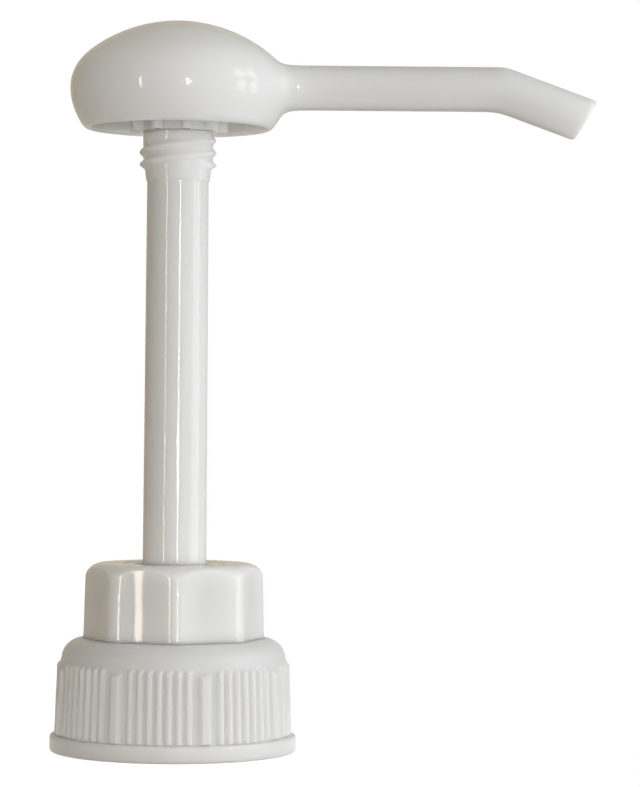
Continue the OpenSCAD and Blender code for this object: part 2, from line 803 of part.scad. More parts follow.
screw_cap();
cap_liner();
octagon_collar();
collar_gasket();
barrel();
stem_guide();
stem_wiper();
inlet_cage();
inlet_ball();
suction_pipe();
return_spring();
piston();
piston_carrier();
discharge_ball();
discharge_stop();
stem();
dome_head();
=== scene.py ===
"""Looks of the plunger dosing pump: its moulded pieces, finishes, floor, light and camera."""
import json
import math
import bmesh
import bpy
from bl_math import smoothstep
from mathutils import Matrix, Vector


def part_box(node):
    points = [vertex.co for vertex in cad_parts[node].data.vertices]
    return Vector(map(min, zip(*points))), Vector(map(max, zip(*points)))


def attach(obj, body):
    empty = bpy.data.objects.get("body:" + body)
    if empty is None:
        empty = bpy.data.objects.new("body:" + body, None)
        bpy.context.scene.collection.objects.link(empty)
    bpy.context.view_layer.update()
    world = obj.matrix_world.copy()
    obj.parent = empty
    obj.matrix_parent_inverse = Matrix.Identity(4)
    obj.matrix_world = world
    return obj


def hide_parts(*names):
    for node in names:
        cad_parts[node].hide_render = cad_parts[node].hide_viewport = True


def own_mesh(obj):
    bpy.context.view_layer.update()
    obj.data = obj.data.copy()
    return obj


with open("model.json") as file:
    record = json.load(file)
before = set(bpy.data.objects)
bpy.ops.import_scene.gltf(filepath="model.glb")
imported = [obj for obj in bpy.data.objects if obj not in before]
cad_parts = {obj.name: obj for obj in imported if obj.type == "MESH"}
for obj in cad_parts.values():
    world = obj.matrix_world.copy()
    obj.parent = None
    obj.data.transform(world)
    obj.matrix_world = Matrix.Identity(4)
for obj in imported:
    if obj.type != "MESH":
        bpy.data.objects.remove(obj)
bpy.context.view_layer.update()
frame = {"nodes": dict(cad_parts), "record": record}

# Pieces are built in millimetres. Vertices nearer to each other than the weld become one.
MM = 0.001
WELD = 0.0005


def box_mm(node):
    """Lowest and highest corner of a CAD node, in millimetres."""
    low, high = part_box(node)
    return low / MM, high / MM


# Heights and outer radii come from the frame. Turns of pieces about the stem are in degrees.
cap_high = box_mm("screw_cap")[1]
collar_low, collar_high = box_mm("octagon_collar")
stem_low, stem_high = box_mm("stem")
guide_low, guide_high = box_mm("stem_guide")
barrel_low, barrel_high = box_mm("barrel")
pipe_low, pipe_high = box_mm("suction_pipe")
spring_low, spring_high = box_mm("return_spring")
cage_low = box_mm("inlet_cage")[0]

# Shared by several pieces. Threads fade over a share of a turn.
SEAT_GAP = 0.05
SINK = 0.3
ROUND_STEPS = 4
THREAD_FADE = 0.14

# Screw cap
skirt_r = cap_high.x
cap_top = collar_low.z - SEAT_GAP
CAP_BORE_R = 25.9
CAP_R = 28.3
PANEL_R = 28.45
CAP_TOP_WALL = 2.5
CAP_HOLE_R = 15.2
SPIGOT_R = 17.6
SKIRT_H = 4.2
SHOULDER_R = 5
SHOULDER_BAND = 0.5
SHOULDER_INSET = 0.4
GRIP_DRAFT = 0.32
BAR_COUNT = 8
BAR_TURN = 18.5
BAR_W = 2.6
BAR_OUT = 1.2
BAR_DROP = 1.2
RIB_COUNT = 7
RIB_STEP = 4.8
RIB_W = 1.4
RIB_OUT = 1.0
CANISTER_PITCH = 5
CANISTER_RIDGE = 1.2
CANISTER_FOOT_W = 2.6
grip_top = cap_top - SHOULDER_R - SHOULDER_BAND

# Octagon collar
COLLAR_SIDES = 8
COLLAR_FLAT_R = 21.0
COLLAR_CORNER_R = 4.0
COLLAR_TOP_ROUND = 4.2
COLLAR_TURN = -18.1
COLLAR_BORE_R = 18.75
COLLAR_HOLE_R = 12.55
COLLAR_TOP_WALL = 3.0
COLLAR_DRAFT = 0.2
COLLAR_FOOT = 0.25
COLLAR_HOLLOW = 0.3
collar_half_side = 180 / COLLAR_SIDES
collar_half_tan = math.tan(math.radians(collar_half_side))
collar_corner_cut = COLLAR_CORNER_R * collar_half_tan
collar_half_flat = COLLAR_FLAT_R * collar_half_tan - collar_corner_cut

# Stem and guide. The second lock thread ends early by a share of a turn.
STEM_R = 7.9
STEM_SWELL = 0.05
STEM_DRAFT = 0.27
STEM_BORE_R = 5.5
FLARE_STEP = 0.2
FLARE_H = 3.0
NECK_DRAFT_H = 6.2
NECK_R = 8.75
NECK_H = 12.4
STEM_SPIGOT_R = 6.9
STEM_SPIGOT_H = 5.5
LOCK_PITCH = 3.1
LOCK_STARTS = 2
LOCK_RIDGE = 0.9
LOCK_FOOT_W = 2.8
LOCK_TURN = -44
LOCK_EARLY_END = 0.25
lock_lead = LOCK_PITCH * LOCK_STARTS
neck_top = stem_high.z - STEM_SPIGOT_H
flare_bottom = neck_top - NECK_H
neck_bottom = flare_bottom + FLARE_H
GUIDE_BORE_R = 8.0
GUIDE_R = 12.85
LOCK_MAJOR_R = 9.9
LOCK_FLOOR = 37.8
GUIDE_RIDGE_W = 2.0
BOSS_R = 12.25
GUIDE_FLANGE_T = 1.8
WIPER_TOP = 35.4
WIPER_BOTTOM = 32.9
WIPER_GROOVE_R = 9.8
guide_flange_top = collar_high.z - COLLAR_TOP_WALL

# Dome head and spout
RIM_LIFT = 0.7
rim_z = neck_top + RIM_LIFT
BELLY_R = 27.1
BELLY_H = 10.4
CROWN_R = 36.6
DOME_SHOULDER_R = 10.5
FLANK_R = 16.0
DOME_WALL = 2.0
SOCKET_R = 9.6
FIN_COUNT = 9
FIN_TURN = -77
FIN_T = 2.0
FIN_REACH = 12.3
SPOUT_R = 5.6
SPOUT_BORE_R = 3.75
SPOUT_H = 10.6
SPOUT_REACH = 80.75
FILLET_RUN = 4.0
FILLET_TOP = 1.5
FILLET_SIDE = 3.6
FILLET_LOW = 2.2
BEND_RUN_TOP = 2.3
BEND_RUN_LOW = 4.4
TIP_L = 22.4
TIP_ANGLE = math.radians(20)
TIP_CUT = math.radians(10.5)
spout_z = rim_z + SPOUT_H
bend = Vector((SPOUT_REACH, 0, spout_z))
tip_down = Matrix.Rotation(TIP_ANGLE, 3, "Y")

# The dome's cage: the spout grows from a square patch of its faces. A subdivision surface
# draws the cage inwards, so the dome swells a little and the spout's rings are rounded up.
DOME_COLUMNS = 48
PATCH_SIDE = 5
PATCH_LOW = 2.2
PATCH_HIGH = 17.2
CAGE_SWELL = 0.11
spout_step = 2 * math.pi / (4 * PATCH_SIDE)
round_up = 1 / ((4 + 2 * math.cos(spout_step)) / 6)

# Barrel, suction pipe and spring. The inlet and its chamber are measured from the pipe's end.
BARREL_R = 11.6
BARREL_BORE_R = 10.0
CUP_R = 14.9
CUP_BORE_R = 12.9
CUP_FLOOR_T = 2
BARREL_FLANGE_T = 2.0
FOOT_R = 7.1
INLET_R = 2.5
INLET_LOW = 0.2
INLET_TOP = 3.2
CHAMBER_R = 5.6
CHAMBER_LOW = 6.3
PIPE_R = 5.0
PIPE_WALL = 1.3
WIRE_R = 0.65
COILS = 16
END_RISE = 1.8


def on_arc(x, z, r, turn):
    """Point of an arc about (x, z), at an angle in degrees."""
    a = math.radians(turn)
    return x + r * math.cos(a), z + r * math.sin(a)


def arc(x, z, r, start, stop, steps):
    """Points of an arc about (x, z), angles in degrees, both ends included."""
    return [on_arc(x, z, r, start + (stop - start) * i / steps) for i in range(steps + 1)]


def soft_outline(corners):
    """Closed outline of (radius, height, rounding) corners.
    Each corner is rounded, and the outline kept straight beside its rounding."""
    straight_from = 1.4
    points = []
    for i, (r, z, rounding) in enumerate(corners):
        here = Vector((r, z))
        if not rounding:
            points.append((r, z))
            continue
        back = (Vector(corners[i - 1][:2]) - here).normalized() * rounding
        on = (Vector(corners[(i + 1) % len(corners)][:2]) - here).normalized() * rounding
        points.append(tuple(here + back * straight_from))
        for k in range(ROUND_STEPS + 1):
            t = k / ROUND_STEPS
            points.append(tuple(here + back * (1 - t) ** 2 + on * t ** 2))
        points.append(tuple(here + on * straight_from))
    return points


def spin_outline(bm, points, steps, closed=True, start=0, sectors=1):
    """Turns an outline of (radius, height) points into a solid of revolution about the stem's axis.
    A fine one is quicker when one sector is spun and then repeated."""
    a = math.radians(start)
    others = set(bm.verts)
    verts = [bm.verts.new((r * math.cos(a), r * math.sin(a), z)) for r, z in points]
    pairs = list(zip(verts, verts[1:]))
    if closed:
        pairs.append((verts[-1], verts[0]))
    edges = [bm.edges.new(pair) for pair in pairs]
    sector = 2 * math.pi / sectors
    bmesh.ops.spin(
        bm, geom=verts + edges, axis=(0, 0, 1), angle=sector, steps=steps // sectors,
        use_merge=sectors == 1
    )
    if sectors > 1:
        made = set(bm.verts) - others
        geom = list(made)
        geom += [e for e in bm.edges if e.verts[0] in made]
        geom += [f for f in bm.faces if f.verts[0] in made]
        bmesh.ops.spin(
            bm, geom=geom, axis=(0, 0, 1), angle=2 * math.pi - sector, steps=sectors - 1,
            use_duplicate=True
        )
    bmesh.ops.remove_doubles(bm, verts=bm.verts, dist=WELD)


def extrude_loop(bm, edges, place):
    """Extrudes a loop of edges and puts each new vertex where place says. Returns the new loop."""
    made = bmesh.ops.extrude_edge_only(bm, edges=edges)["geom"]
    verts = {v for v in made if isinstance(v, bmesh.types.BMVert)}
    for v in verts:
        v.co = place(v.co.copy())
    return [e for e in made if isinstance(e, bmesh.types.BMEdge) and set(e.verts) <= verts]


def push_out(v, r):
    """Moves a vertex along its own radius to a new distance from the stem's axis."""
    share = r / math.hypot(v.co.x, v.co.y)
    v.co.x *= share
    v.co.y *= share


def turn_from(v, start, step):
    """Angle in degrees from a vertex to the nearest of the places that repeat around the stem."""
    turn = (math.degrees(math.atan2(v.co.y, v.co.x)) - start) % step
    return min(turn, step - turn)


def along_thread(v, begin, bottom, lead):
    """How many turns up a thread the vertex stands."""
    turn = (math.atan2(v.co.y, v.co.x) - begin) / (2 * math.pi) % 1
    return turn + round((v.co.z - bottom) / lead - turn)


def thread_fade(along, turns):
    """Share of a thread's height, which fades at both ends."""
    return max(0, min(1, along / THREAD_FADE, (turns - along) / THREAD_FADE))


def bore_thread(bm, wall_r, ridge, width, lead, turns, bottom, start):
    """A helical ridge that stands into a bore and fades at both ends."""
    turn_steps = 48
    across = 8
    steps = math.ceil(turns * turn_steps)
    begin = math.radians(start)
    root = wall_r + SINK
    section = [(root, -width / 2)]
    for i in range(across + 1):
        t = 2 * i / across - 1
        section.append((wall_r - ridge * (1 + math.cos(math.pi * t)) / 2, t * width / 2))
    section.append((root, width / 2))
    others = set(bm.verts)
    first = [bm.verts.new((r * math.cos(begin), r * math.sin(begin), bottom + z)) for r, z in section]
    edges = [bm.edges.new(pair) for pair in zip(first, first[1:] + first[:1])]
    bmesh.ops.spin(
        bm, geom=first + edges, axis=(0, 0, 1), angle=2 * math.pi * turns, steps=steps,
        dvec=(0, 0, lead * turns / steps)
    )
    for v in set(bm.verts) - others:
        r = math.hypot(v.co.x, v.co.y)
        if r < wall_r:
            fade = thread_fade(along_thread(v, begin, bottom, lead), turns)
            push_out(v, wall_r + (r - wall_r) * fade)
    ends = [e for e in bm.edges if e.is_boundary]
    bmesh.ops.holes_fill(bm, edges=ends, sides=0)


def raise_thread(bm, crest_r, width, lead, turns, bottom, start):
    """Draws a helical ridge out of a shaft's wall, fading at both ends."""
    sharpness = 1.4
    wall_slack = 0.1
    begin = math.radians(start)
    for v in bm.verts:
        r = math.hypot(v.co.x, v.co.y)
        along = along_thread(v, begin, bottom, lead)
        off = 2 * (v.co.z - bottom - lead * along) / width
        if r < STEM_R - wall_slack or abs(off) >= 1:
            continue
        share = thread_fade(along, turns) * ((1 + math.cos(math.pi * off)) / 2) ** sharpness
        push_out(v, r + (crest_r - r) * share)


# Materials

# Colour sockets of a mix node
MIX_A = 6
MIX_B = 7
MIX_OUT = 2


def add_node(tree, kind, inputs=None, **settings):
    """A new node with its settings and input values."""
    made = tree.nodes.new(kind)
    for key, value in settings.items():
        setattr(made, key, value)
    for key, value in (inputs or {}).items():
        made.inputs[key].default_value = value
    return made


def moulded_skin():
    """Surface of a moulding: slow clouds of tone, a few dark specks, flow ripples and a fine grain."""
    rarity = 0.72
    group = bpy.data.node_groups.new("moulded_skin", "ShaderNodeTree")
    for name in ("Cloud Scale", "Ripple Scale", "Grain Scale", "Grain Share"):
        group.interface.new_socket(name=name, in_out="INPUT", socket_type="NodeSocketFloat")
    for name in ("Cloud", "Speck", "Height"):
        group.interface.new_socket(name=name, in_out="OUTPUT", socket_type="NodeSocketFloat")
    link = group.links.new
    given = add_node(group, "NodeGroupInput")
    out = add_node(group, "NodeGroupOutput")
    place = add_node(group, "ShaderNodeTexCoord").outputs["Object"]
    cloud = add_node(group, "ShaderNodeTexNoise", {"Detail": 3, "Roughness": 0.55})
    ripple = add_node(group, "ShaderNodeTexNoise", {"Detail": 1, "Roughness": 0.4})
    grain = add_node(group, "ShaderNodeTexNoise", {"Detail": 2, "Roughness": 0.6})
    cells = add_node(group, "ShaderNodeTexVoronoi", {"Scale": 55})
    rare = add_node(group, "ShaderNodeSeparateColor")
    pick = add_node(group, "ShaderNodeMath", {1: rarity}, operation="GREATER_THAN")
    dot = add_node(group, "ShaderNodeMapRange", {
        "From Min": 0.006, "From Max": 0.014, "To Min": 1, "To Max": 0
    })
    speck = add_node(group, "ShaderNodeMath", operation="MULTIPLY")
    height = add_node(group, "ShaderNodeMix", data_type="FLOAT")
    for texture, name in ((cloud, "Cloud Scale"), (ripple, "Ripple Scale"), (grain, "Grain Scale")):
        link(place, texture.inputs["Vector"])
        link(given.outputs[name], texture.inputs["Scale"])
    link(place, cells.inputs["Vector"])
    link(cells.outputs["Color"], rare.inputs["Color"])
    link(rare.outputs["Red"], pick.inputs[0])
    link(cells.outputs["Distance"], dot.inputs["Value"])
    link(dot.outputs["Result"], speck.inputs[0])
    link(pick.outputs["Value"], speck.inputs[1])
    link(given.outputs["Grain Share"], height.inputs["Factor"])
    link(ripple.outputs["Fac"], height.inputs["A"])
    link(grain.outputs["Fac"], height.inputs["B"])
    link(cloud.outputs["Fac"], out.inputs["Cloud"])
    link(speck.outputs["Value"], out.inputs["Speck"])
    link(height.outputs["Result"], out.inputs["Height"])
    return group


SKIN = moulded_skin()


def moulded(
    name, pale, deep, speck, gloss, relief, cloud_scale, ripple_scale, grain_scale, grain_share, **fixed
):
    """A moulded or rubbed surface: two tones, specks, roughness between two values, a fine relief.
    Other inputs of the shader are given by their names, with an underscore for a space."""
    material = bpy.data.materials.new(name)
    material.use_nodes = True
    tree = material.node_tree
    link = tree.links.new
    shader = tree.nodes["Principled BSDF"]
    for key, value in fixed.items():
        shader.inputs[key.replace("_", " ")].default_value = value
    skin = add_node(tree, "ShaderNodeGroup", node_tree=SKIN)
    skin.inputs["Cloud Scale"].default_value = cloud_scale
    skin.inputs["Ripple Scale"].default_value = ripple_scale
    skin.inputs["Grain Scale"].default_value = grain_scale
    skin.inputs["Grain Share"].default_value = grain_share
    tone = add_node(tree, "ShaderNodeMix", {MIX_A: (*pale, 1), MIX_B: (*deep, 1)}, data_type="RGBA")
    dotted = add_node(tree, "ShaderNodeMix", {MIX_B: (*speck, 1)}, data_type="RGBA")
    spread = add_node(tree, "ShaderNodeMapRange", {"From Min": 0.25, "From Max": 0.75})
    rough = add_node(tree, "ShaderNodeMapRange", {"To Min": gloss[0], "To Max": gloss[1]})
    bump = add_node(tree, "ShaderNodeBump", {"Strength": 1.0, "Distance": relief * MM})
    link(skin.outputs["Cloud"], spread.inputs["Value"])
    link(spread.outputs["Result"], tone.inputs["Factor"])
    link(tone.outputs[MIX_OUT], dotted.inputs[MIX_A])
    link(skin.outputs["Speck"], dotted.inputs["Factor"])
    link(dotted.outputs[MIX_OUT], shader.inputs["Base Color"])
    link(spread.outputs["Result"], rough.inputs["Value"])
    link(rough.outputs["Result"], shader.inputs["Roughness"])
    link(skin.outputs["Height"], bump.inputs["Height"])
    link(bump.outputs["Normal"], shader.inputs["Normal"])
    return material


PLASTIC_IOR = 1.5
RUBBER_IOR = 1.45
SKIN_DEPTH = (0.85, 0.82, 0.78)
MATERIALS = {
    "gloss_white": moulded(
        "gloss_white", pale=(0.90, 0.89, 0.865), deep=(0.88, 0.865, 0.83), speck=(0.30, 0.25, 0.19),
        gloss=(0.03, 0.06), relief=0.05,
        cloud_scale=45, ripple_scale=110, grain_scale=2600, grain_share=0.04,
        IOR=PLASTIC_IOR, Subsurface_Weight=1.0, Subsurface_Radius=SKIN_DEPTH, Subsurface_Scale=0.006
    ),
    "cap_plastic": moulded(
        "cap_plastic", pale=(0.77, 0.77, 0.765), deep=(0.76, 0.76, 0.755), speck=(0.45, 0.44, 0.42),
        gloss=(0.30, 0.31), relief=0.04,
        cloud_scale=60, ripple_scale=160, grain_scale=3200, grain_share=0.05,
        IOR=PLASTIC_IOR, Subsurface_Weight=0.8, Subsurface_Radius=SKIN_DEPTH, Subsurface_Scale=0.005
    ),
    "natural_plastic": moulded(
        "natural_plastic", pale=(0.76, 0.775, 0.77), deep=(0.71, 0.73, 0.725), speck=(0.50, 0.50, 0.48),
        gloss=(0.26, 0.38), relief=0.05,
        cloud_scale=50, ripple_scale=140, grain_scale=3000, grain_share=0.08,
        IOR=PLASTIC_IOR, Subsurface_Weight=0.35, Subsurface_Radius=SKIN_DEPTH, Subsurface_Scale=0.004
    ),
    "piston_plastic": moulded(
        "piston_plastic", pale=(0.77, 0.78, 0.775), deep=(0.73, 0.745, 0.74), speck=(0.55, 0.55, 0.53),
        gloss=(0.40, 0.50), relief=0.04,
        cloud_scale=80, ripple_scale=200, grain_scale=3200, grain_share=0.4, IOR=PLASTIC_IOR
    ),
    "seal_rubber": moulded(
        "seal_rubber", pale=(0.20, 0.205, 0.21), deep=(0.15, 0.155, 0.16), speck=(0.10, 0.10, 0.10),
        gloss=(0.55, 0.7), relief=0.06,
        cloud_scale=120, ripple_scale=400, grain_scale=4200, grain_share=0.7, IOR=RUBBER_IOR
    ),
    "spring_steel": moulded(
        "spring_steel", pale=(0.62, 0.63, 0.64), deep=(0.50, 0.51, 0.52), speck=(0.28, 0.27, 0.26),
        gloss=(0.22, 0.34), relief=0.02,
        cloud_scale=300, ripple_scale=900, grain_scale=5000, grain_share=0.6, Metallic=1.0
    ),
    "ball_steel": moulded(
        "ball_steel", pale=(0.72, 0.73, 0.74), deep=(0.66, 0.67, 0.68), speck=(0.45, 0.45, 0.45),
        gloss=(0.06, 0.10), relief=0.01,
        cloud_scale=200, ripple_scale=500, grain_scale=5000, grain_share=0.5, Metallic=1.0
    ),
}


def make_piece(name, bm, body, slot, node, smooth_levels=0):
    """Turns a mesh in millimetres into a piece that rides on a body and stands for a CAD node."""
    sharp_angle = math.radians(40)
    bmesh.ops.remove_doubles(bm, verts=bm.verts, dist=WELD)
    bmesh.ops.recalc_face_normals(bm, faces=bm.faces)
    bmesh.ops.scale(bm, vec=(MM, MM, MM), verts=bm.verts)
    mesh = bpy.data.meshes.new(name)
    bm.to_mesh(mesh)
    bm.free()
    mesh.shade_smooth()
    mesh.materials.append(MATERIALS[slot])
    piece = bpy.data.objects.new(name, mesh)
    bpy.context.scene.collection.objects.link(piece)
    if smooth_levels:
        smooth = piece.modifiers.new("smooth", "SUBSURF")
        smooth.levels = smooth_levels
        smooth.render_levels = smooth_levels
    else:
        mesh.set_sharp_from_angle(angle=sharp_angle)
    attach(piece, body)
    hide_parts(node)
    return piece


# Camera and stage


def photo_camera():
    """A long lens level with the middle of the stem, rolled by the photograph's small tilt."""
    lens = 135.4
    place = Vector((36.0, -740.0, 84.5)) * MM
    look_up = math.radians(90.38)
    roll = math.radians(0.5)
    data = bpy.data.cameras.new("photo_camera")
    data.lens = lens
    data.clip_start = 0.01
    camera = bpy.data.objects.new("photo_camera", data)
    turn = Matrix.Rotation(look_up, 4, "X") @ Matrix.Rotation(roll, 4, "Z")
    camera.matrix_world = Matrix.Translation(place) @ turn
    bpy.context.scene.collection.objects.link(camera)
    bpy.context.scene.camera = camera


def background_share(tree):
    """1 for rays that see the background: from the camera, from gloss and through glass."""
    path = add_node(tree, "ShaderNodeLightPath")
    first = add_node(tree, "ShaderNodeMath", operation="MAXIMUM")
    both = add_node(tree, "ShaderNodeMath", operation="MAXIMUM")
    tree.links.new(path.outputs["Is Camera Ray"], first.inputs[0])
    tree.links.new(path.outputs["Is Glossy Ray"], first.inputs[1])
    tree.links.new(first.outputs["Value"], both.inputs[0])
    tree.links.new(path.outputs["Is Transmission Ray"], both.inputs[1])
    return both.outputs["Value"]


def left_to_right(tree, coordinate, reach, left, right):
    """A colour that runs from one at the far left to another at the far right."""
    place = add_node(tree, "ShaderNodeTexCoord")
    axes = add_node(tree, "ShaderNodeSeparateXYZ")
    side = add_node(tree, "ShaderNodeMapRange", {"From Min": -reach, "From Max": reach})
    tone = add_node(tree, "ShaderNodeMix", {MIX_A: (*left, 1), MIX_B: (*right, 1)}, data_type="RGBA")
    tree.links.new(place.outputs[coordinate], axes.inputs["Vector"])
    tree.links.new(axes.outputs["X"], side.inputs["Value"])
    tree.links.new(side.outputs["Result"], tone.inputs["Factor"])
    return tone.outputs[MIX_OUT]


def white_room():
    """White to the eye; its soft light is warmer and weaker from the left than from the right."""
    world = bpy.data.worlds.new("white_room")
    bpy.context.scene.world = world
    world.use_nodes = True
    tree = world.node_tree
    glow = tree.nodes["Background"]
    room = left_to_right(tree, "Generated", 1, left=(0.09, 0.078, 0.07), right=(0.48, 0.495, 0.505))
    seen = add_node(tree, "ShaderNodeMix", {MIX_B: (1, 1, 1, 1)}, data_type="RGBA")
    tree.links.new(room, seen.inputs[MIX_A])
    tree.links.new(background_share(tree), seen.inputs["Factor"])
    tree.links.new(seen.outputs[MIX_OUT], glow.inputs["Color"])


def lamp(name, azimuth, elevation, distance, size, power, colour, mirrored=True):
    """An area lamp aimed at the middle of the stem. Azimuth 0 is at the camera, and 90 on the right.
    Distance and size are in metres, angles in degrees."""
    target = Vector((0, 0, 90)) * MM
    a = math.radians(azimuth)
    e = math.radians(elevation)
    away = Vector((math.sin(a) * math.cos(e), -math.cos(a) * math.cos(e), math.sin(e)))
    data = bpy.data.lights.new(name, "AREA")
    data.shape = "RECTANGLE"
    data.size, data.size_y = size
    data.energy = power
    data.color = colour
    light = bpy.data.objects.new(name, data)
    light.location = target + away * distance
    light.rotation_euler = away.to_track_quat("Z", "Y").to_euler()
    light.visible_glossy = mirrored
    bpy.context.scene.collection.objects.link(light)


def room_lamps():
    """A window of four panes on the right, two strips and a flash in front, and fills that gloss
    doesn't mirror."""
    plain_white = (1.0, 1.0, 1.0)
    daylight = (0.97, 0.99, 1.0)
    soft_white = (1.0, 0.99, 0.97)
    cream = (1.0, 0.95, 0.86)
    amber = (1.0, 0.85, 0.68)
    for azimuth in (71.5, 88.5):
        for elevation in (1.5, 22.5):
            lamp("window_pane", azimuth, elevation, 1.15, (0.22, 0.28), 0.42, daylight)
    lamp("window_fill", 80, 12, 1.15, (0.6, 0.7), 1.3, daylight, mirrored=False)
    lamp("flash", 11.5, -1.0, 2.0, (0.30, 0.03), 1.0, plain_white)
    lamp("white_strip", 12.3, 0.2, 2.0, (0.10, 0.46), 2.4, plain_white)
    lamp("warm_strip", -37.5, 2, 1.0, (0.045, 0.36), 0.55, amber)
    lamp("right_fill", 60, 15, 1.2, (0.8, 0.8), 1.4, soft_white, mirrored=False)
    lamp("ceiling", 20, 75, 1.2, (0.9, 0.9), 1.0, soft_white, mirrored=False)
    lamp("low_fill", 0, -3, 1.0, (0.9, 0.06), 2.5, soft_white, mirrored=False)
    lamp("low_window", 70, -8, 0.5, (0.5, 0.04), 0.38, daylight, mirrored=False)
    lamp("back_fill", 180, 8, 1.2, (1.2, 0.8), 7.5, cream, mirrored=False)


def add_stage(name, bm):
    """Links a mesh of the surroundings with a material whose glow isn't sampled as a lamp.
    Returns the object and its material's node tree."""
    mesh = bpy.data.meshes.new(name)
    bm.to_mesh(mesh)
    bm.free()
    item = bpy.data.objects.new(name, mesh)
    bpy.context.scene.collection.objects.link(item)
    material = bpy.data.materials.new(name)
    material.cycles.emission_sampling = "NONE"
    material.use_nodes = True
    mesh.materials.append(material)
    return item, material.node_tree


def room_shell():
    """The room that the gloss mirrors, warm on the left and grey on the right. No other ray meets it."""
    radius = 3.0
    bm = bmesh.new()
    bmesh.ops.create_uvsphere(bm, u_segments=48, v_segments=24, radius=radius)
    shell, tree = add_stage("room_shell", bm)
    shell.visible_camera = False
    shell.visible_diffuse = False
    shell.visible_transmission = False
    shell.visible_shadow = False
    shader = tree.nodes["Principled BSDF"]
    shader.inputs["Base Color"].default_value = (0, 0, 0, 1)
    shader.inputs["Specular IOR Level"].default_value = 0
    shader.inputs["Emission Strength"].default_value = 1
    tone = left_to_right(tree, "Object", radius, left=(0.72, 0.59, 0.34), right=(0.45, 0.46, 0.47))
    tree.links.new(tone, shader.inputs["Emission Color"])


def pale_floor():
    """A pale floor on which the cap stands, with a hole for the barrel that hangs below it."""
    floor_r = 110
    hole_r = 14
    thickness = 6
    whiteness = 0.85
    bm = bmesh.new()
    spin_outline(bm, soft_outline([
        (hole_r, -thickness, 0.5), (floor_r, -thickness, 0.8), (floor_r, 0, 0.8), (hole_r, 0, 0.5)
    ]), steps=128)
    bmesh.ops.recalc_face_normals(bm, faces=bm.faces)
    bmesh.ops.scale(bm, vec=(MM, MM, MM), verts=bm.verts)
    floor, tree = add_stage("pale_floor", bm)
    shader = tree.nodes["Principled BSDF"]
    shader.inputs["Base Color"].default_value = (0.52, 0.49, 0.43, 1)
    shader.inputs["Roughness"].default_value = 0.7
    shader.inputs["Emission Color"].default_value = (1, 1, 1, 1)
    glow = add_node(tree, "ShaderNodeMath", {1: whiteness}, operation="MULTIPLY")
    tree.links.new(background_share(tree), glow.inputs[0])
    tree.links.new(glow.outputs["Value"], shader.inputs["Emission Strength"])


# Pieces


def raise_grip(bm):
    """Draws the wide bars and the fine ribs out of the cap's wall, each running out softly on top."""
    run_out = 1.1
    edge = 0.4
    inside_r = CAP_BORE_R + 1
    wall_low = SKIRT_H + 0.01
    bar_step = 360 / BAR_COUNT
    last_rib = (RIB_COUNT - 1) / 2 * RIB_STEP
    half_bar = BAR_W / 2
    half_rib = RIB_W / 2
    bar_top = grip_top - BAR_DROP
    for v in bm.verts:
        r = math.hypot(v.co.x, v.co.y)
        z = v.co.z
        if r < inside_r or z < wall_low or z > grip_top:
            continue
        from_bar = turn_from(v, BAR_TURN, bar_step)
        from_middle = bar_step / 2 - from_bar
        rib = min(last_rib, round(from_middle / RIB_STEP) * RIB_STEP)
        bar_off = math.radians(from_bar) * PANEL_R
        rib_off = math.radians(abs(from_middle - rib)) * PANEL_R
        bar = 1 - smoothstep(half_bar - edge, half_bar + edge, bar_off)
        bar *= 1 - smoothstep(bar_top - run_out, bar_top, z)
        fine = 1 - smoothstep(half_rib - edge, half_rib + edge, rib_off)
        fine *= 1 - smoothstep(grip_top - run_out, grip_top, z)
        rise = max(bar * (CAP_R + BAR_OUT - PANEL_R), fine * (CAP_R + RIB_OUT - PANEL_R))
        push_out(v, r + rise * smoothstep(SKIRT_H, SKIRT_H + edge, z))


def ribbed_cap():
    """Canister cap: skirt, drafted grip with bars and ribs, rounded shoulder, and a thread inside."""
    bm = bmesh.new()
    ceiling = cap_top - CAP_TOP_WALL
    thread_low = 3
    lead_in = 2
    free_turns = 1.2
    turns = (ceiling - lead_in) / CANISTER_PITCH - free_turns
    bore_thread(
        bm, CAP_BORE_R, CANISTER_RIDGE, CANISTER_FOOT_W, CANISTER_PITCH, turns, bottom=thread_low, start=0
    )
    shoulder_x = CAP_R - SHOULDER_INSET - SHOULDER_R
    shoulder_z = cap_top - SHOULDER_R
    shoulder_points = arc(shoulder_x, shoulder_z, SHOULDER_R, start=6, stop=90, steps=14)
    shoulder = [(r, z, 0) for r, z in shoulder_points]
    panel_top_r = PANEL_R - GRIP_DRAFT
    drops = (2.8, 2.4, 2.0, 1.6, 1.2, 0.9, 0.6, 0.35)
    rungs = [(panel_top_r, grip_top - drop, 0) for drop in drops]
    spin_outline(bm, soft_outline([
        (CAP_BORE_R, 0, 0.4), (skirt_r, 0, 0.9), (skirt_r, SKIRT_H, 0.9),
        (PANEL_R + GRIP_DRAFT, SKIRT_H, 0.35), *rungs, (panel_top_r, grip_top, 0.15), *shoulder,
        (SPIGOT_R, cap_top, 0.3), (SPIGOT_R, cap_high.z, 0.4), (CAP_HOLE_R, cap_high.z, 0.3),
        (CAP_HOLE_R, ceiling, 0.2), (CAP_BORE_R, ceiling, 0.4)
    ]), steps=600, start=BAR_TURN, sectors=BAR_COUNT)
    raise_grip(bm)
    make_piece("ribbed_cap", bm, "base", "cap_plastic", "screw_cap")


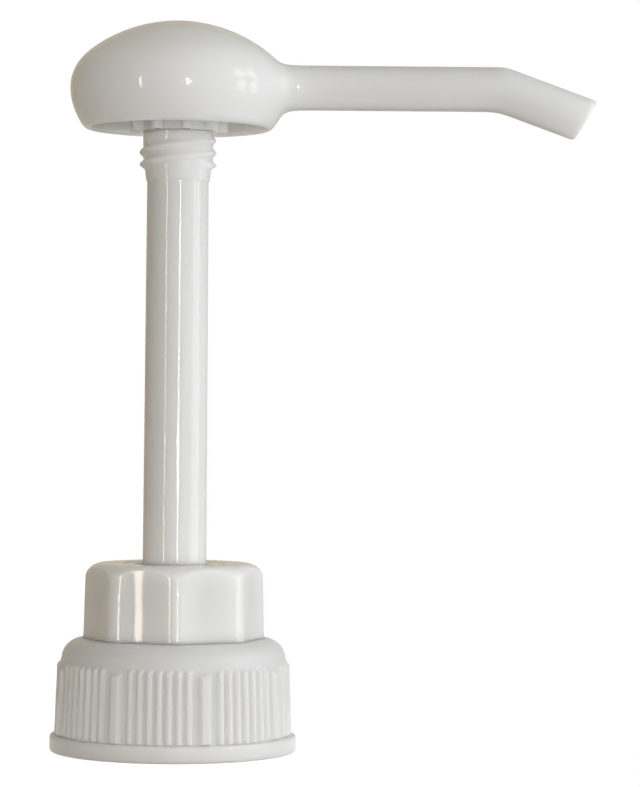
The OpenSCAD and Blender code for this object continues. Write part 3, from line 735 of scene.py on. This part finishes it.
def rounded_octagon(bm):
    """A flat ring of edges with eight sides and rounded corners, turned as the collar stands."""
    corner_r = COLLAR_FLAT_R / math.cos(math.radians(collar_half_side))
    shortest_flat = 5 * collar_corner_cut
    made = bmesh.ops.create_circle(bm, cap_ends=True, radius=corner_r, segments=COLLAR_SIDES)
    bmesh.ops.bevel(
        bm, geom=made["verts"], offset=collar_corner_cut, segments=3, profile=0.5, affect="VERTICES",
        material=-1
    )
    flats = [e for e in bm.edges if e.calc_length() > shortest_flat]
    bmesh.ops.subdivide_edges(bm, edges=flats, cuts=4)
    bmesh.ops.delete(bm, geom=list(bm.faces), context="FACES_ONLY")
    turn = Matrix.Rotation(math.radians(COLLAR_TURN + collar_half_side), 3, "Z")
    bmesh.ops.rotate(bm, cent=(0, 0, 0), matrix=turn, verts=bm.verts)


def eight_sided_collar():
    """Clamping nut with eight flats, whose top is turned round so that each flat ends in an arch."""
    bm = bmesh.new()
    rounded_octagon(bm)
    low, high = collar_low.z, collar_high.z
    middle = (low + high) / 2
    round_r = max(v.co.length for v in bm.verts) - COLLAR_TOP_ROUND
    side = []
    for v in bm.verts:
        along = COLLAR_FLAT_R * math.tan(math.radians(turn_from(v, COLLAR_TURN, 2 * collar_half_side)))
        hollow = COLLAR_HOLLOW * max(0, 1 - (along / collar_half_flat) ** 2)
        side.append((v.co.to_2d().normalized(), v.co.length - hollow))

    def wall_r(way, z):
        nearest = max(side, key=lambda column: column[0].dot(way))
        return nearest[1] + COLLAR_DRAFT * (middle - z) / (middle - low)

    def wall(z, out=0.0):
        def place(co):
            way = co.to_2d().normalized()
            return (way * (wall_r(way, z) + out)).to_3d() + Vector((0, 0, z))
        return place

    def arch(share, drop=0.0):
        def place(co):
            way = co.to_2d().normalized()
            out = min(COLLAR_TOP_ROUND, wall_r(way, high) - round_r)
            meet = math.acos(max(-1, out / COLLAR_TOP_ROUND))
            a = meet + (math.pi / 2 - meet) * share
            r = round_r + COLLAR_TOP_ROUND * math.cos(a)
            z = high - COLLAR_TOP_ROUND + COLLAR_TOP_ROUND * math.sin(a) - drop
            return (way * r).to_3d() + Vector((0, 0, z))
        return place

    def ring(r, z):
        return lambda co: (co.to_2d().normalized() * r).to_3d() + Vector((0, 0, z))

    # Up the wall, over the arches, across the top, down the hole and the bore, and back to the foot
    ceiling = guide_flange_top + SEAT_GAP
    places = [
        wall(low + 0.1, COLLAR_FOOT), wall(low + 0.4, COLLAR_FOOT / 3), wall(low + 1.2),
        wall(middle - 4), wall(middle + 2),
        arch(0, 0.6), arch(0, 0.15), arch(0.05), arch(0.2), arch(0.45), arch(0.7), arch(0.92),
        ring(round_r - 1.2, high), ring(round_r - 4, high), ring(COLLAR_HOLE_R + 0.7, high),
        ring(COLLAR_HOLE_R + 0.1, high - 0.1), ring(COLLAR_HOLE_R, high - 0.7),
        ring(COLLAR_HOLE_R, ceiling + 0.2), ring(COLLAR_HOLE_R + 0.2, ceiling),
        ring(COLLAR_BORE_R - 0.3, ceiling), ring(COLLAR_BORE_R, ceiling - 0.3),
        ring(COLLAR_BORE_R, low + 0.4), ring(COLLAR_BORE_R + 0.2, low), ring(COLLAR_BORE_R + 1.2, low),
        wall(low, COLLAR_FOOT - 0.2)
    ]
    for v in bm.verts:
        v.co = wall(low, COLLAR_FOOT)(v.co)
    first = list(bm.edges)
    loop = first
    for place in places:
        loop = extrude_loop(bm, loop, place)
    bmesh.ops.bridge_loops(bm, edges=loop + first)
    make_piece("eight_sided_collar", bm, "base", "gloss_white", "octagon_collar", smooth_levels=2)


def threaded_stem():
    """Long glossy tube with a flared neck and the two-start lock thread under the head."""
    bm = bmesh.new()
    foot_r = STEM_R + STEM_SWELL
    shaft_top_r = foot_r - STEM_DRAFT
    flare_r = shaft_top_r + FLARE_STEP
    wall_top = neck_top - SEAT_GAP
    thread_low = neck_bottom + SINK

    def neck(z):
        return min(NECK_R, flare_r + (NECK_R - flare_r) * (z - flare_bottom) / NECK_DRAFT_H)

    rungs = 44
    rung_low = flare_bottom + 0.8
    rung_rise = wall_top - 0.4 - rung_low
    heights = [rung_low + rung_rise * i / rungs for i in range(rungs + 1)]
    wall = [(neck(z), z, 0) for z in heights]
    spin_outline(bm, soft_outline([
        (STEM_BORE_R, stem_low.z, 0.2), (STEM_R, stem_low.z, 0.3), (STEM_R, guide_high.z - 1, 0.5),
        (foot_r, guide_high.z, 0.5), (shaft_top_r, flare_bottom, 0.05), (flare_r, flare_bottom, 0.08),
        *wall, (NECK_R, wall_top, 0.1), (STEM_SPIGOT_R, wall_top, 0.1),
        (STEM_SPIGOT_R, stem_high.z, 0.2), (STEM_BORE_R, stem_high.z, 0.2)
    ]), steps=144)
    full_turns = (wall_top - thread_low - LOCK_FOOT_W / 2) / lock_lead
    for i in range(LOCK_STARTS):
        start = i * 360 / LOCK_STARTS + LOCK_TURN
        turns = full_turns - i * LOCK_EARLY_END
        raise_thread(bm, NECK_R + LOCK_RIDGE, LOCK_FOOT_W, lock_lead, turns, thread_low, start)
    make_piece("threaded_stem", bm, "plunger", "gloss_white", "stem")


def guide_bush():
    """Bush in the barrel's mouth, with the female lock thread and the wiper's groove."""
    bm = bmesh.new()
    flange_bottom = guide_flange_top - GUIDE_FLANGE_T
    lead_in = LOCK_MAJOR_R - GUIDE_BORE_R
    thread_low = LOCK_FLOOR + LOCK_PITCH / 2
    turns = (guide_high.z - LOCK_FLOOR - LOCK_PITCH) / lock_lead
    for i in range(LOCK_STARTS):
        start = i * 360 / LOCK_STARTS
        bore_thread(bm, LOCK_MAJOR_R, LOCK_RIDGE, GUIDE_RIDGE_W, lock_lead, turns, thread_low, start)
    spin_outline(bm, soft_outline([
        (GUIDE_BORE_R, guide_low.z, 0.2), (GUIDE_R, guide_low.z, 0.4), (GUIDE_R, flange_bottom, 0.1),
        (guide_high.x, flange_bottom, 0.3), (guide_high.x, guide_flange_top, 0.3),
        (BOSS_R, guide_flange_top, 0.1), (BOSS_R, guide_high.z, 0.4), (LOCK_MAJOR_R, guide_high.z, 0.4),
        (LOCK_MAJOR_R, LOCK_FLOOR, 0.3), (GUIDE_BORE_R, LOCK_FLOOR - lead_in, 0.2),
        (GUIDE_BORE_R, WIPER_TOP, 0.1), (WIPER_GROOVE_R, WIPER_TOP, 0.1),
        (WIPER_GROOVE_R, WIPER_BOTTOM, 0.1), (GUIDE_BORE_R, WIPER_BOTTOM, 0.1)
    ]), steps=96)
    make_piece("guide_bush", bm, "base", "gloss_white", "stem_guide")


# The dome's outline is a flank below the belly, a shoulder above it, and the crown.
crown_h = BELLY_H - math.sqrt((CROWN_R - DOME_SHOULDER_R) ** 2 - (BELLY_R - DOME_SHOULDER_R) ** 2)
crown_angle = math.degrees(math.atan2(BELLY_H - crown_h, BELLY_R - DOME_SHOULDER_R))
crown_join_h = crown_h + CROWN_R * math.sin(math.radians(crown_angle))


def dome_r(h):
    """Radius of the dome's outside at a height above its rim."""
    if h > crown_join_h:
        return math.sqrt(CROWN_R ** 2 - (h - crown_h) ** 2)
    if h > BELLY_H:
        return BELLY_R - DOME_SHOULDER_R + math.sqrt(DOME_SHOULDER_R ** 2 - (h - BELLY_H) ** 2)
    return BELLY_R - FLANK_R + math.sqrt(FLANK_R ** 2 - (h - BELLY_H) ** 2)


def dome_x(around, out):
    """Distance from the stem's axis to the dome along the spout, at a place around the spout."""
    return math.sqrt(dome_r(SPOUT_H + out * math.cos(around)) ** 2 - (out * math.sin(around)) ** 2)


def dome_cage(bm):
    """A coarse hollow dome without the patch that the spout grows from. Returns the patch's edges."""
    column = 360 / DOME_COLUMNS
    lip_r = DOME_WALL / 2
    lip_swell = 1.18
    flank_x = BELLY_R - FLANK_R
    shoulder_x = BELLY_R - DOME_SHOULDER_R
    lip_angle = math.degrees(math.asin((BELLY_H - lip_r) / (FLANK_R - lip_r)))
    lip_x = flank_x + (FLANK_R - lip_r) * math.cos(math.radians(lip_angle))
    patch_h = PATCH_HIGH - PATCH_LOW
    patch_rings = [PATCH_LOW + patch_h * i / PATCH_SIDE for i in range(PATCH_SIDE + 1)]
    crown_turns = (53, 58.5, 64, 70, 76, 82, 86, 88.3, 90)
    inner = [on_arc(0, crown_h, CROWN_R - DOME_WALL, turn) for turn in reversed(crown_turns)]
    inner += arc(shoulder_x, BELLY_H, DOME_SHOULDER_R - DOME_WALL, crown_angle - 8, 0, steps=3)
    inner += arc(flank_x, BELLY_H, FLANK_R - DOME_WALL, -12, -lip_angle + 8, steps=2)
    outside = arc(lip_x, lip_r, lip_r * lip_swell, 180 - lip_angle, 360 - lip_angle, steps=3)
    outside += [(dome_r(h) + CAGE_SWELL, h) for h in patch_rings]
    outside += [on_arc(0, crown_h, CROWN_R + CAGE_SWELL, turn) for turn in crown_turns]
    profile = [(max(r, 0), rim_z + h) for r, h in inner + outside]
    spin_outline(bm, profile, DOME_COLUMNS, closed=False, start=column / 2)

    half_patch = math.radians(column * PATCH_SIDE / 2)
    patch = []
    for face in bm.faces:
        centre = face.calc_center_median()
        h = centre.z - rim_z
        if not PATCH_LOW < h < PATCH_HIGH or abs(math.atan2(centre.y, centre.x)) > half_patch:
            continue
        if math.hypot(centre.x, centre.y) > dome_r(h) - DOME_WALL / 2:
            patch.append(face)
    bmesh.ops.delete(bm, geom=patch, context="FACES")
    return [e for e in bm.edges if e.is_boundary]


def spout_turn(co):
    """Angle of a place around the spout's axis, 0 on top."""
    return math.atan2(co.y, co.z - spout_z)


def at_spout(x, out, around):
    """Place at a distance along the spout's axis, out from it and around it."""
    return Vector((x, out * math.sin(around), spout_z + out * math.cos(around)))


def fillet_reach(around):
    """How far out from the spout's axis its fillet meets the dome."""
    c = math.cos(around)
    end = FILLET_TOP if c > 0 else FILLET_LOW
    return SPOUT_R + FILLET_SIDE + (end - FILLET_SIDE) * c * c


def fillet(t):
    """A ring of the fillet between the dome (0) and the spout (1)."""
    def place(co):
        around = spout_turn(co)
        reach = fillet_reach(around)
        corner = Vector((dome_x(around, SPOUT_R), SPOUT_R * round_up))
        on_dome = Vector((dome_x(around, reach), reach))
        along = corner + Vector((FILLET_RUN, 0))
        x, out = on_dome * (1 - t) ** 2 + corner * 2 * t * (1 - t) + along * t * t
        return at_spout(x, out, around)
    return place


def straight(x, r):
    """A ring of the straight length."""
    return lambda co: at_spout(x, r * round_up, spout_turn(co))


def mitre_point(r, away, around):
    """Place at the bend, moved along the spout by a distance that grows towards its underside."""
    y = r * round_up * math.sin(around)
    z = r * round_up * math.cos(around)
    up = (1 + math.cos(around)) / 2
    run = away * (BEND_RUN_TOP * up + BEND_RUN_LOW * (1 - up))
    x = z * math.tan(TIP_ANGLE / 2)
    if away <= 0:
        return bend + Vector((x + run, y, z))
    return bend + tip_down @ Vector((-x + run, y, z))


def mitre(r, away):
    """A ring at the bend that follows a ring of the straight length."""
    return lambda co: mitre_point(r, away, spout_turn(co))


def mitre_back(r, away):
    """A ring at the bend that follows a ring of the tip."""
    def place(co):
        local = tip_down.transposed() @ (co - bend) if away > 0 else co - bend
        return mitre_point(r, away, math.atan2(local.y, local.z))
    return place


def tip(r, back):
    """A ring of the bent tip, parallel to its oblique end and some way back from it."""
    def place(co):
        local = tip_down.transposed() @ (co - bend)
        around = math.atan2(local.y, local.z)
        y = r * round_up * math.sin(around)
        z = r * round_up * math.cos(around)
        return bend + tip_down @ Vector((TIP_L + z * math.tan(TIP_CUT) - back, y, z))
    return place


def dome_and_spout():
    """Hollow dome with its spout drawn out of it: a coarse cage that a subdivision surface rounds."""
    bm = bmesh.new()
    loop = dome_cage(bm)
    rim = sorted({v for e in loop for v in e.verts}, key=lambda v: spout_turn(v.co))
    for i, v in enumerate(rim):
        around = (i + 0.5) * spout_step - math.pi
        reach = fillet_reach(around)
        v.co = at_spout(dome_x(around, reach) + CAGE_SWELL, reach, around)
    out_r, bore_r = SPOUT_R, SPOUT_BORE_R
    places = [
        fillet(0.33), fillet(0.66), fillet(1), straight(40, out_r), straight(58, out_r),
        mitre(out_r, -3), mitre(out_r, -1), mitre(out_r, 0), mitre(out_r, 1),
        tip(out_r, 9), tip(out_r, 1.4), tip(out_r, 0.45), tip(out_r - 0.4, 0), tip(out_r - 1.0, 0),
        tip(bore_r + 0.25, 0), tip(bore_r, 0.3), tip(bore_r, 1.5), tip(bore_r, 9),
        mitre_back(bore_r, 1), mitre_back(bore_r, 0), mitre_back(bore_r, -1),
        straight(58, bore_r), straight(20, bore_r)
    ]
    for place in places:
        loop = extrude_loop(bm, loop, place)
    bmesh.ops.holes_fill(bm, edges=loop, sides=0)
    make_piece("dome_and_spout", bm, "plunger", "gloss_white", "dome_head", smooth_levels=2)


def head_socket():
    """What stands in the dome's hollow: the stem's socket, its ring of gusset fins, the spout's duct."""
    bm = bmesh.new()
    low = neck_top
    high = rim_z + crown_h + math.sqrt((CROWN_R - DOME_WALL / 2) ** 2 - FIN_REACH ** 2)
    bore = STEM_SPIGOT_R + SEAT_GAP
    spin_outline(bm, soft_outline([
        (bore, low, 0.1), (SOCKET_R, low, 0.1), (SOCKET_R, high, 0), (bore, high, 0)
    ]), steps=360, start=FIN_TURN, sectors=FIN_COUNT)
    half_fin = math.degrees(FIN_T / (SOCKET_R + FIN_REACH))
    fin_edge = 0.8
    wall_slack = 0.2
    for v in bm.verts:
        r = math.hypot(v.co.x, v.co.y)
        if r > SOCKET_R - wall_slack:
            off = turn_from(v, FIN_TURN, 360 / FIN_COUNT)
            fin = 1 - smoothstep(half_fin - fin_edge, half_fin + fin_edge, off)
            push_out(v, r + (FIN_REACH - SOCKET_R) * fin)
    duct_sink = 1
    duct_low = SOCKET_R - duct_sink
    duct_high = dome_x(0, 0) - DOME_WALL / 2
    duct_middle = Matrix.Translation(((duct_low + duct_high) / 2, 0, spout_z))
    bmesh.ops.create_cone(
        bm, cap_ends=True, segments=48, radius1=SPOUT_R, radius2=SPOUT_R, depth=duct_high - duct_low,
        matrix=duct_middle @ Matrix.Rotation(math.pi / 2, 4, "Y")
    )
    make_piece("head_socket", bm, "plunger", "gloss_white", "dome_head")


def pump_barrel():
    """Milky pump cylinder: clamping flange, guide cup, long tube and foot with the pipe's socket."""
    bm = bmesh.new()
    flange_low = barrel_high.z - BARREL_FLANGE_T
    cup_floor = guide_low.z - SEAT_GAP
    cone_top = guide_low.z - CUP_FLOOR_T
    cone_low = cone_top - (CUP_R - BARREL_R)
    floor = cage_low.z - SEAT_GAP
    foot_top = floor - (BARREL_R - BARREL_BORE_R)
    pipe_bore = PIPE_R + SEAT_GAP
    inlet_low = pipe_high.z + INLET_LOW
    inlet_top = pipe_high.z + INLET_TOP
    chamber_low = pipe_high.z + CHAMBER_LOW
    spin_outline(bm, soft_outline([
        (BARREL_BORE_R, floor, 0.2), (BARREL_BORE_R, cup_floor, 0.2), (CUP_BORE_R, cup_floor, 0.2),
        (CUP_BORE_R, barrel_high.z, 0.3), (barrel_high.x, barrel_high.z, 0.3),
        (barrel_high.x, flange_low, 0.3), (CUP_R, flange_low, 0.2), (CUP_R, cone_top, 1.0),
        (BARREL_R, cone_low, 1.0), (BARREL_R, foot_top, 1.2),
        (FOOT_R, foot_top - (BARREL_R - FOOT_R), 1.2), (FOOT_R, barrel_low.z, 0.4),
        (pipe_bore, barrel_low.z, 0.3), (pipe_bore, inlet_low, 0.2), (INLET_R, inlet_low, 0.2),
        (INLET_R, inlet_top, 0.2), (CHAMBER_R, chamber_low, 0.2), (CHAMBER_R, floor, 0.2)
    ]), steps=128)
    make_piece("pump_barrel", bm, "base", "natural_plastic", "barrel")


def dip_pipe():
    """Rigid suction pipe with its foot cut off at a slant."""
    bm = bmesh.new()
    bore = PIPE_R - PIPE_WALL
    spin_outline(bm, soft_outline([
        (bore, pipe_low.z, 0), (PIPE_R, pipe_low.z, 0),
        (PIPE_R, pipe_high.z, 0.3), (bore, pipe_high.z, 0.3)
    ]), steps=96)
    cut = bmesh.ops.bisect_plane(
        bm, geom=bm.verts[:] + bm.edges[:] + bm.faces[:], plane_co=(-PIPE_R, 0, pipe_low.z),
        plane_no=(1, 0, -1), clear_outer=True
    )
    edges = [e for e in cut["geom_cut"] if isinstance(e, bmesh.types.BMEdge)]
    bmesh.ops.bridge_loops(bm, edges=edges)
    make_piece("dip_pipe", bm, "base", "natural_plastic", "suction_pipe")


def wire_spring():
    """Return spring of round wire, with a flatter coil at each end."""
    bm = bmesh.new()
    mean_r = spring_high.x - WIRE_R
    low = spring_low.z + WIRE_R
    rise = spring_high.z - spring_low.z - 2 * WIRE_R - 2 * END_RISE
    coil_steps = 40
    upright = Matrix.Translation((mean_r, 0, low)) @ Matrix.Rotation(math.pi / 2, 4, "X")
    made = bmesh.ops.create_circle(bm, cap_ends=False, radius=WIRE_R, segments=12, matrix=upright)
    geom = made["verts"] + list(bm.edges)
    for turns, climb in ((1, END_RISE), (COILS - 2, rise), (1, END_RISE)):
        steps = coil_steps * turns
        geom = bmesh.ops.spin(
            bm, geom=geom, axis=(0, 0, 1), angle=2 * math.pi * turns, steps=steps,
            dvec=(0, 0, climb / steps)
        )["geom_last"]
    bmesh.ops.holes_fill(bm, edges=[e for e in bm.edges if e.is_boundary], sides=0)
    spring = make_piece("wire_spring", bm, "base", "spring_steel", "return_spring")
    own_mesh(spring)


def carried_over():
    """Inner pieces that keep their CAD shape take the finish of their slot."""
    slots = {part["node"]: part["material_slot"] for part in frame["record"]["subparts"]}
    for name, item in frame["nodes"].items():
        item.data.materials.clear()
        item.data.materials.append(MATERIALS[slots[name]])


bpy.context.scene.view_settings.view_transform = "Standard"
photo_camera()
white_room()
room_lamps()
room_shell()
pale_floor()
carried_over()
ribbed_cap()
eight_sided_collar()
threaded_stem()
guide_bush()
dome_and_spout()
head_socket()
pump_barrel()
dip_pipe()
wire_spring()
